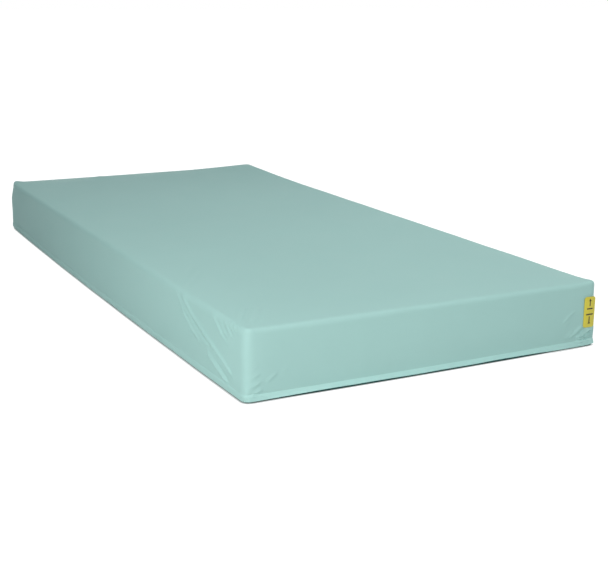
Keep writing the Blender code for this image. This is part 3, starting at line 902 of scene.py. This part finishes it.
# %% Shifts of the filled cover
def sit(points):
    """Shifts points of the cover, or of what is sewn to it, to where the filled cover sits."""
    moved = points.copy()
    x, y, z = points.T
    high = past(z, *UPRIGHT_HEIGHTS)
    for (side, end), (power_low, power_high) in CORNER_POWER.items():
        centre = np.array([math.copysign(HALF_X, side), math.copysign(HALF_Y, end)])
        away = points[:, :2] - centre
        in_corner = (away[:, 0] * side > 0) & (away[:, 1] * end > 0)
        reach = np.maximum(np.linalg.norm(away, axis=1), 1e-9)
        p = power_low + (power_high - power_low) * high
        factor = (np.abs(away[:, 0] / reach) ** p + np.abs(away[:, 1] / reach) ** p) ** (-1.0 / p)
        moved[in_corner, :2] = (centre + away * factor[:, None])[in_corner]
    for (side, end), lift, (wide, long) in PEAKS:
        near = round_patch(x - side, y - end, wide, long) * past(z, *PEAK_HEIGHTS)
        moved += near[:, None] * np.array(lift)
    low = 1.0 - past(z, *BOW_HEIGHTS)
    near_side = past(-x, *NEAR_SIDE_OUT)
    foot_end = past(-y, *FOOT_END_OUT)
    moved[:, 0] -= SIDE_BOW * low * bowed(y, LENGTH) * near_side
    moved[:, 0] += HEAD_PULL * past(z, *PULL_HEIGHTS) * past(y, *PULL_ALONG) * near_side
    full = round_patch(x - ZIP_SIDE, y - FOOT_END, LOW_REACH, LOW_REACH)
    moved[:, 0] += LOW_FULLNESS * full * (1 - past(z, *FULL_HEIGHTS))
    moved[:, 1] -= FOOT_BOW * low * bowed(x, WIDTH) * foot_end
    moved[:, 2] += HEM_RISE * falloff(HEAD_END - y, HEM_REACH) * near_side * (1 - past(z, *HEM_HEIGHTS))
    slack = past(z, *SLACK_HEIGHTS)
    moved[:, 1] += CORNER_SLACK * falloff(x - NEAR_SIDE, SLACK_REACH) * foot_end * slack
    moved[:, 0] += SIDE_SLACK * falloff(y - FOOT_END, SIDE_SLACK_REACH) * near_side * slack
    return moved


def tighten(points):
    """Makes the rounded top edge tighter, most of all close to the corners."""
    centre, away = outward(points[:, :2])
    inset = CORNER - np.linalg.norm(points[:, :2] - centre, axis=1)
    out = np.clip(1 - inset / TOP_EDGE, 0, 1)
    up = np.clip((points[:, 2] - wall_top) / TOP_EDGE, 0, 1)
    to_corner = np.hypot(np.abs(points[:, 0]) - WIDTH / 2, np.abs(points[:, 1]) - LENGTH / 2)
    q = EDGE_POWER + (CORNER_EDGE_POWER - EDGE_POWER) * np.exp(-((to_corner / EDGE_REACH) ** 2))
    factor = np.maximum(out**q + up**q, 1e-9) ** (-1.0 / q)
    edge = (out > 0.01) & (up > 0.01) & (np.linalg.norm(away, axis=1) > 0.5)
    moved = points.copy()
    moved[edge, :2] += (away * ((np.minimum(out * factor, 1) - out) * TOP_EDGE)[:, None])[edge]
    moved[edge, 2] += ((np.minimum(up * factor, 1) - up) * TOP_EDGE)[edge]
    return moved


print("shifts ready")

# %% Seat the cover and the foam
shaped = sit(tighten(shaped))
write_points(cover, shaped)
points = read_points(slab)
near = points[:, 0] < 0
points[near] = sit(points)[near]
write_points(slab, points)
for beam in bolsters:
    points = read_points(beam)
    outer = np.abs(points[:, :2]) > (HALF_X - FOAM_SHELL, HALF_Y - FOAM_SHELL)
    points[:, :2] = np.where(outer, sit(points)[:, :2], points[:, :2])
    write_points(beam, points)
print(f"cover seated, highest point {shaped[:, 2].max():.4f} m")

# %% [markdown]
# ## Folds and creases
# Cloth that is pulled round a corner drags into long shallow folds. Each is a broken line across a wall or
# the top, with a width, a height, and the share of its length over which it fades at each end. Most are
# ridges, and the few with a negative height are valleys.


# %% Crease lines
def crease(flat, line, width, height, fade=0.3):
    """The height at flat points of one soft ridge or valley along a broken line, fading at its ends."""
    line = np.array(line)
    runs = np.linalg.norm(np.diff(line, axis=0), axis=1)
    marks = np.concatenate([[0.0], np.cumsum(runs)])
    nearest = np.full(len(flat), np.inf)
    along = np.zeros(len(flat))
    for start, end, run, mark in zip(line, line[1:], runs, marks):
        share = np.clip((flat - start) @ (end - start) / run**2, 0.0, 1.0)
        gap = np.linalg.norm(flat - start - share[:, None] * (end - start), axis=1)
        closer = gap < nearest
        nearest[closer] = gap[closer]
        along[closer] = (mark + share * run)[closer]
    along /= marks[-1]
    taper = ease(along / fade) * ease((1.0 - along) / fade)
    return height * taper * np.exp(-((nearest / width) ** 2))


def creased(flat, creases):
    return sum(crease(flat, *values) for values in creases)


print("crease tool ready")

# %% Folds of each wall and of the top
SIDE_CREASES = [
    ([(-0.616, 0.150), (-0.639, 0.137), (-0.682, 0.116), (-0.745, 0.097), (-0.802, 0.079),
      (-0.858, 0.061), (-0.884, 0.049), (-0.902, 0.033)], 0.0033, 0.0048, 0.10),
    ([(-0.586, 0.149), (-0.606, 0.132), (-0.644, 0.103), (-0.688, 0.082), (-0.716, 0.070)],
     0.0031, 0.0036, 0.18),
    ([(-0.640, 0.126), (-0.690, 0.101), (-0.745, 0.083), (-0.800, 0.067)], 0.0030, -0.0022, 0.25),
    ([(-0.604, 0.143), (-0.630, 0.122), (-0.668, 0.103)], 0.0024, 0.0018, 0.30),
    ([(-0.689, 0.089), (-0.712, 0.076), (-0.735, 0.063)], 0.0028, 0.0024, 0.30),
    ([(-0.655, 0.084), (-0.690, 0.066)], 0.0030, 0.0018, 0.35),
    ([(-0.760, 0.060), (-0.791, 0.050), (-0.829, 0.036), (-0.858, 0.025), (-0.886, 0.013)],
     0.0052, 0.0046, 0.22),
    ([(-0.818, 0.050), (-0.856, 0.035), (-0.890, 0.020)], 0.0026, -0.0016, 0.30),
    ([(-0.782, 0.150), (-0.806, 0.138), (-0.836, 0.120), (-0.862, 0.104)], 0.0024, 0.0036, 0.25),
    ([(-0.806, 0.142), (-0.832, 0.126), (-0.860, 0.109), (-0.880, 0.096)], 0.0022, 0.0030, 0.30),
    ([(-0.830, 0.144), (-0.852, 0.129), (-0.876, 0.113)], 0.0022, 0.0030, 0.30),
    ([(-0.850, 0.149), (-0.873, 0.135), (-0.898, 0.119)], 0.0022, 0.0032, 0.30),
    ([(-0.870, 0.1515), (-0.894, 0.139), (-0.914, 0.128)], 0.0022, 0.0032, 0.30),
    ([(-0.890, 0.152), (-0.912, 0.141), (-0.928, 0.132)], 0.0022, 0.0030, 0.30),
    ([(-0.908, 0.152), (-0.926, 0.143), (-0.938, 0.136)], 0.0022, 0.0024, 0.30),
]
END_CREASES = [
    ([(0.439, 0.0440), (0.419, 0.0351), (0.403, 0.0281), (0.387, 0.0212)], 0.0028, 0.0046, 0.20),
    ([(0.439, 0.0306), (0.422, 0.0248), (0.406, 0.0202), (0.391, 0.0155)], 0.0025, 0.0042, 0.20),
    ([(0.412, 0.0525), (0.397, 0.0431), (0.384, 0.0337), (0.370, 0.0250)], 0.0034, 0.0030, 0.25),
    ([(0.439, 0.0172), (0.414, 0.0148), (0.394, 0.0130)], 0.0024, 0.0028, 0.22),
    ([(0.439, 0.0375), (0.420, 0.0296), (0.403, 0.0240)], 0.0022, -0.0030, 0.20),
    ([(0.439, 0.0238), (0.418, 0.0194), (0.402, 0.0160)], 0.0020, -0.0020, 0.22),
    ([(0.436, 0.0530), (0.414, 0.0425), (0.396, 0.0310)], 0.0024, -0.0020, 0.25),
    ([(0.347, 0.0603), (0.370, 0.0811), (0.388, 0.0905)], 0.0026, 0.0018, 0.25),
    ([(0.354, 0.0560), (0.374, 0.0750)], 0.0026, 0.0010, 0.30),
    ([(0.356, 0.022), (0.386, 0.045)], 0.0046, 0.0012, 0.35),
    ([(-0.090, 0.0905), (-0.075, 0.0780)], 0.0030, -0.0010, 0.35),
    ([(-0.432, 0.013), (-0.404, 0.028)], 0.0028, 0.0020, 0.30),
    ([(-0.436, 0.046), (-0.412, 0.062)], 0.0024, 0.0015, 0.30),
    ([(-0.434, 0.064), (-0.414, 0.080)], 0.0024, 0.0010, 0.35),
    ([(-0.402, 0.036), (-0.370, 0.060)], 0.0030, 0.0014, 0.35),
    ([(-0.434, 0.029), (-0.408, 0.044)], 0.0026, 0.0016, 0.30),
    ([(-0.366, 0.052), (-0.342, 0.071)], 0.0045, 0.0006, 0.40),
]
ZIP_SIDE_CREASES = [
    ([(-0.930, 0.128), (-0.862, 0.100), (-0.792, 0.082), (-0.722, 0.070)], 0.0040, 0.0034, 0.20),
    ([(-0.936, 0.098), (-0.884, 0.080), (-0.842, 0.068)], 0.0034, 0.0024, 0.30),
    ([(-0.904, 0.060), (-0.852, 0.044), (-0.802, 0.034)], 0.0042, 0.0028, 0.30),
]
HEAD_CREASES = [
    ([(0.436, 0.140), (0.402, 0.113), (0.372, 0.092), (0.348, 0.080)], 0.0036, 0.0030, 0.25),
    ([(0.438, 0.112), (0.404, 0.085), (0.380, 0.066)], 0.0040, 0.0026, 0.30),
    ([(-0.436, 0.030), (-0.404, 0.052), (-0.372, 0.066)], 0.0044, 0.0028, 0.30),
    ([(-0.430, 0.052), (-0.400, 0.078), (-0.380, 0.092)], 0.0036, 0.0022, 0.30),
]
TOP_CREASES = [
    ([(-0.424, -0.920), (-0.356, -0.806)], 0.0034, -0.0011, 0.25),
    ([(-0.432, -0.900), (-0.372, -0.805)], 0.0045, 0.0016, 0.30),
    ([(-0.412, -0.925), (-0.345, -0.820)], 0.0045, 0.0012, 0.30),
    ([(-0.436, -0.600), (-0.290, -0.380)], 0.0042, -0.0011, 0.25),
    ([(-0.440, -0.586), (-0.310, -0.393)], 0.0060, 0.0018, 0.25),
    ([(-0.432, -0.616), (-0.290, -0.400)], 0.0060, 0.0012, 0.25),
    ([(0.225, -0.600), (0.240, -0.330)], 0.0150, 0.0009, 0.50),
    ([(-0.150, 0.950), (-0.110, 0.880)], 0.0120, 0.0026, 0.40),
]


print("folds:", len(SIDE_CREASES), "on the near side and", len(END_CREASES), "on the foot end")

# %% Press the folds into the cover
SIDE_FACING, END_FACING = (0.10, 0.40), (0.30, 0.50)
SKIN_WAVES = (0.9, 0.6, 0.42, 0.3, 0.21, 0.16)
SKIN_UNEVEN = 0.0006

cover_normals = np.empty(len(shaped) * 3)
cover.data.vertex_normals.foreach_get("vector", cover_normals)
cover_normals = cover_normals.reshape(-1, 3)
skin = shaped[:, 2] > HEM_TOP
facing_x, facing_y = cover_normals[:, 0], cover_normals[:, 1]
across_end, along_side = [0, 2], [1, 2]
walls = [
    (past(-facing_x, *SIDE_FACING) * (rest[:, 0] < 0), along_side, SIDE_CREASES),
    (past(facing_x, *SIDE_FACING) * (rest[:, 0] > 0), along_side, ZIP_SIDE_CREASES),
    (past(-facing_y, *END_FACING) * (rest[:, 1] < 0), across_end, END_CREASES),
    (past(facing_y, *END_FACING) * (rest[:, 1] > 0), across_end, HEAD_CREASES),
]
push = unevenness(shaped, 5, SKIN_WAVES, SKIN_UNEVEN) * skin
for share, plane, creases in walls:
    wall = skin & (share > 0)
    push[wall] += creased(rest[wall][:, plane], creases) * share[wall]
push[on_top] += creased(rest[on_top][:, :2], TOP_CREASES)
write_points(cover, shaped + cover_normals * push[:, None])
print(f"folds from {push.min() * 1000:.1f} to {push.max() * 1000:.1f} mm")

# %% Cover finish
shade(cover, 60.0)
dress(cover, cover_cloth, "cover", "cover_cloth", "top_cover")

# %% [markdown]
# ## The flap over the zip
# A strip sewn to the cover just above the zip, hanging over it. Along the foot end it kicks out and is
# lifted off the floor, except by the label's corner. On the near side and at the head it is tucked in and
# hangs lower. It is fixed round three sides, and along the zip's own side it is a separate length that
# folds up.

# %% Flap sizes and hang
SEW_GAP = 0.0003
FLAP_TOP = 0.0185
FLAP_FOLD = 0.0145
FLAP_FOOT = 0.0045
FIXED_FLARE = 0.0020
SIDE_FLARE = 0.0060
FLAP_CLOTH = 0.0008
FLAP_END = HALF_Y - 0.012
ACCESS_END = FLAP_END - 0.0016
END_KICK = 0.0060
END_LIFT = 0.0028
SIDE_TUCK = 0.0016
SIDE_DROP = 0.0022
LIFT_END = 0.235
LIFT_FADE = 0.125
ZIP_CORNER_FADE = 0.018
FREE_WAVES, FOOT_WAVES = (0.55, 0.31, 0.17, 0.09), (0.6, 0.35, 0.2, 0.11)
FREE_UNEVEN = 0.0007
SEWN_ROWS = [(0.0014, FLAP_TOP), (0.0010, 0.0168), (0.0005, 0.0152)]
HANGING_ROWS = 8


def flap_rows(flare):
    """Sewn in at the top, a soft fold, then the flare down to the foot."""
    rows = list(SEWN_ROWS)
    for share in np.linspace(0.0, 1.0, HANGING_ROWS + 1)[1:]:
        out = SEW_GAP + (flare - SEW_GAP) * share
        rows.append((-out - 0.0001 * (1 - share), FLAP_FOLD + (FLAP_FOOT - FLAP_FOLD) * share))
    return rows


def hang(piece, seed):
    """Lets the free edge of a flap wander, kick out along the foot end and hang lower elsewhere."""
    points = read_points(piece)
    free = np.clip((FLAP_FOLD - points[:, 2]) / (FLAP_FOLD - FLAP_FOOT), 0, 1)
    _, away = outward(points[:, :2])
    wander = unevenness(points, seed, FREE_WAVES, FREE_UNEVEN)
    along_end = np.clip(1 - (points[:, 0] / HALF_X) ** 4, 0, 1) * (points[:, 1] < -HALF_Y)
    elsewhere = (1 - along_end) * (1 - past(points[:, 0], HALF_X, ZIP_CORNER_FADE))
    settled = past(points[:, 0], LIFT_END, LIFT_FADE)
    dropped = np.maximum(elsewhere, along_end * settled)
    kick = END_KICK * along_end * free**0.8 - SIDE_TUCK * elsewhere
    points[:, :2] += away * ((wander * (1 - 0.6 * elsewhere) + kick) * free)[:, None]
    points[:, 2] += unevenness(points, seed + 1, FOOT_WAVES, FREE_UNEVEN) * free
    points[:, 2] += (END_LIFT * along_end * (1 - settled) - SIDE_DROP * dropped) * free
    write_points(piece, points)


print("flap hangs from", FLAP_TOP, "to", FLAP_FOOT)

# %% Flap strips
FIXED_STRIDE = 0.005
SIDE_STEPS = 160
fixed_steps = walk_steps(FLAP_END, FULL_WALK - FLAP_END, FIXED_STRIDE)
side_steps = np.linspace(-ACCESS_END, ACCESS_END, SIDE_STEPS)
flaps = [
    ("flap_fixed", fixed_steps, FIXED_FLARE, 21, "cover", "zip_flap"),
    ("flap_side", side_steps, SIDE_FLARE, 31, "side_flap", "access_flap"),
]
for name, steps, flare, seed, body, node in flaps:
    piece = strip(name, steps, flap_rows(flare))
    hang(piece, seed)
    points = read_points(piece)
    on_end = points[:, 1] < -HALF_Y
    points[on_end, 1] -= creased(points[on_end][:, ::2], END_CREASES)
    on_side = points[:, 0] < -HALF_X
    points[on_side, 0] -= creased(points[on_side][:, 1:], SIDE_CREASES)
    write_points(piece, sit(points))
    apply_modifier(piece, "SOLIDIFY", thickness=FLAP_CLOTH, offset=1.0, use_even_offset=True)
    shade(piece, 50.0)
    dress(piece, flap_cloth, body, "flap_cloth", node)

# %% [markdown]
# ## The base cover
# A shallow tray of heavier, very dark cloth. Its rim stands up inside the flap and carries the lower half
# of the zip, and it is what shows as a dark line under the flap: its dark colour is partly the cloth's own
# and partly painted shade, for the shadow in the gap under the flap.

# %% Base tray
BASE_CLOTH = 0.0010
BASE_RIM = 0.0019
BASE_TOP = 0.0045
BASE_TURN = 0.0025
TURN_ROWS = 4

base_x = WIDTH / 2 - BASE_RIM - BASE_TURN
base_y = LENGTH / 2 - BASE_RIM - BASE_TURN
base_rows = []
for step in range(1, TURN_ROWS + 1):
    angle = math.pi / 2 * step / TURN_ROWS
    turn_inset = BASE_RIM + BASE_TURN * (1 - math.sin(angle))
    base_rows.append((turn_inset, BASE_TURN * (1 - math.cos(angle))))
base_rows += [(BASE_RIM, 0.0035), (BASE_RIM, BASE_TOP)]
base_skin = cloth_box(
    "base_skin",
    spaced([(-base_x, 0.0044), (-HALF_X, 0.05), (HALF_X, 0.0044), (base_x, 0)]),
    spaced([(-base_y, 0.0044), (-HALF_Y, 0.05), (HALF_Y, 0.0044), (base_y, 0)]),
    0.0, base_rows)
write_points(base_skin, sit(read_points(base_skin)))
apply_modifier(base_skin, "SOLIDIFY", thickness=BASE_CLOTH, offset=-1.0, use_even_offset=True)
shade(base_skin, 50.0)
dress(base_skin, base_cloth, "base", "base_cloth", "base_cover")

# %% [markdown]
# ## A row of small shapes round the edge
# Stitches and zip teeth repeat by the thousand. One is modelled at the origin, lying along X with Y
# outward, an Array modifier repeats it in a straight row, and the row is then bent round the edge walk.


# %% Rows bent round the edge
def row_round(unit, first, last, pitch):
    """Repeats one small shape from first to last along the edge walk."""
    count = max(round((last - first) / pitch), 2)
    stride = (last - first) / count
    apply_modifier(unit, "ARRAY", count=count, use_relative_offset=False, use_constant_offset=True,
                   constant_offset_displace=(stride, 0.0, 0.0))
    points = read_points(unit)
    centre, away = walk(first + stride / 2 + points[:, 0])
    flat = centre + away * (CORNER + points[:, 1])[:, None]
    write_points(unit, sit(np.column_stack([flat, points[:, 2]])))
    print(f"{unit.name}: {count} of them, {stride * 1000:.2f} mm apart")


def stitch(name, length, thickness, place):
    """One stitch: a short thread that dives into the cloth at both ends."""
    piece = add(name, bpy.ops.mesh.primitive_cylinder_add, vertices=6, radius=thickness / 2,
                depth=length * 0.6, rotation=(0.0, math.pi / 2, 0.0))
    settle(piece)
    mode("EDIT")
    for side in (-1.0, 1.0):
        pick(piece, lambda middle, way: way.x * side > 0.9)
        extrude(side * length * 0.2, -thickness * 0.35, 0.0)
        bpy.ops.transform.resize(value=(1.0, 0.4, 0.5))
    mode("OBJECT")
    piece.location = place
    settle(piece)
    return piece


print("rows ready")

# %% [markdown]
# ## The seam above the flap
# The flap hangs from a line of lockstitch round the foot of the wall. The thread is the cloth's colour, so
# from a distance it only breaks up the light along the seam.

# %% Flap seam
SEAM_HEIGHT = 0.0200
SEAM_PROUD = 0.0001
STITCH_LENGTH, STITCH_PITCH = 0.0034, 0.0046
THREAD_WIDTH = 0.0005
flap_seam = stitch("flap_seam", STITCH_LENGTH, THREAD_WIDTH, (0.0, SEAM_PROUD, SEAM_HEIGHT))
row_round(flap_seam, 0.0, FULL_WALK, STITCH_PITCH)
shade(flap_seam, 60.0)
dress(flap_seam, thread, "cover", "cover_cloth")

# %% [markdown]
# ## The zip
# Two woven tapes run round the edge behind the flap, each with a nylon coil along its meeting edge. The
# coil's turns show as small upright bars. The slider's post passes between the two halves, so they stop
# short of the middle. The metal parts keep their CAD shape and get a worn zinc finish.

# %% Zip tapes
TAPE_FACE = 0.0032
TAPE_CLOTH = 0.0005
TAPE_END = HEAD_CORNER_WALK - (HALF_X - 0.3985)
COIL_END = HEAD_CORNER_WALK - (HALF_X - 0.3925)


def zip_tape(name, first, heights, body, node):
    """A tape along the edge walk, with its rows at these heights."""
    tape = strip(name, walk_steps(first, TAPE_END), [(TAPE_FACE, height) for height in heights])
    write_points(tape, sit(read_points(tape)))
    apply_modifier(tape, "SOLIDIFY", thickness=TAPE_CLOTH, offset=-1.0, use_even_offset=True)
    shade(tape, 50.0)
    return dress(tape, tape_weave, body, "tape_weave", node)


tape_upper = zip_tape("tape_upper", -0.8841, (0.0175, 0.0136, 0.0098), "cover", "zip_tape_upper")
tape_lower = zip_tape("tape_lower", -0.9065, (0.0082, 0.0052, 0.0023), "base", "zip_tape_lower")

# %% Zip teeth
TOOTH_PITCH = 0.0026
TOOTH_RADIUS = 0.00058
TOOTH_SOFT = 0.00028
TOOTH_DEEP = 1.65
TOOTH_INSET = 0.0021
TOOTH_LEAN = 0.16


def coil_half(name, first, low, high, lean, body, node):
    """Turns of the coil: short bars with rounded ends that lean along the tape, from first on."""
    middle = (0.0, 0.0, (low + high) / 2)
    turns = add(name, bpy.ops.mesh.primitive_cylinder_add, vertices=6, radius=TOOTH_RADIUS,
                depth=high - low, location=middle)
    settle(turns)
    mode("EDIT")
    pick(turns, lambda middle, way: abs(way.z) < 0.5, "EDGE")
    bpy.ops.mesh.bevel(offset=TOOTH_SOFT, segments=1)
    bpy.ops.mesh.select_all(action="SELECT")
    bpy.ops.transform.resize(value=(1.0, TOOTH_DEEP, 1.0))
    bpy.ops.transform.rotate(value=lean, orient_axis="Y", center_override=middle)
    bpy.ops.transform.translate(value=(0.0, -TOOTH_INSET, 0.0))
    mode("OBJECT")
    row_round(turns, first, COIL_END, TOOTH_PITCH)
    shade(turns, 60.0)
    return dress(turns, coil_nylon, body, "coil_nylon", node)


teeth_upper = coil_half("teeth_upper", -0.8805, 0.0097, 0.0119, TOOTH_LEAN, "cover", "zip_coil_upper")
teeth_lower = coil_half("teeth_lower", -0.9005, 0.0061, 0.0083, -TOOTH_LEAN, "base", "zip_coil_lower")

# %% Zip metal
metal_nodes = (
    "zip_slider", "zip_pull_tab", "zip_pin_upper", "zip_stop_lower",
    "zip_far_stop_upper", "zip_far_stop_lower",
)
for node in metal_nodes:
    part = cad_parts[node]
    part.data.materials.clear()
    part.data.materials.append(zinc)
print("zinc on", ", ".join(metal_nodes))

# %% [markdown]
# ## The turning label
# A stiff yellow tag on the foot end tells which way to turn the mattress. It is a flat plate with rounded
# corners, and its marks are plain bars and arrows, raised a hair so that they catch the light as thick ink.

# %% Label plate
LABEL_CORNER = 0.006
LABEL_EDGE = 0.00018
label_low, label_high = (Vector(corner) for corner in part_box("turn_label"))
label = add_box("label_plate", (label_low + label_high) / 2, label_high - label_low)
mode("EDIT")
pick(label, lambda middle, way: abs(way.y) > 0.9, "EDGE")
bpy.ops.mesh.bevel(offset=LABEL_CORNER, segments=6)
pick(label, lambda middle, way: abs(way.y) < 0.1 and middle.y < label_low.y + 1e-5, "EDGE")
bpy.ops.mesh.bevel(offset=LABEL_EDGE, segments=2)
mode("OBJECT")
shade(label, 35.0)
dress(label, label_vinyl, "cover", "label_vinyl", "turn_label")

# %% Label marks
INK = 0.00012
MARK_SHIFT = 0.001
ARROW_RADIUS = 0.0042
ARROW_SHAFT = (0.0028, 0.0150)
ink_place = ((label_low.x + label_high.x) / 2 + MARK_SHIFT, label_low.y - INK / 2)


def ink_bar(width, height, z):
    bar = add_box("ink", (*ink_place, z), (width, INK, height))
    mode("EDIT")
    pick(bar, lambda middle, way: abs(way.y) > 0.9, "EDGE")
    bpy.ops.mesh.bevel(offset=min(width, height) * 0.35, segments=2)
    mode("OBJECT")
    return bar


def ink_head(z, spin):
    """The head of an arrow: a flat triangle."""
    head = add("ink", bpy.ops.mesh.primitive_cylinder_add, vertices=3, radius=ARROW_RADIUS, depth=INK,
               location=(*ink_place, z), rotation=(math.pi / 2, 0.0, spin))
    settle(head)
    return head


marks = [
    ink_bar(*ARROW_SHAFT, 0.1035), ink_head(0.1105, 0.0), ink_bar(0.0170, 0.0032, 0.0905),
    ink_bar(0.0200, 0.0034, 0.0770), ink_bar(*ARROW_SHAFT, 0.0645), ink_head(0.0570, math.pi),
]
only(marks[0])
for mark in marks[1:]:
    mark.select_set(True)
bpy.ops.object.join()
label_marks = named("label_marks")
dress(label_marks, label_ink, "cover", "label_vinyl")
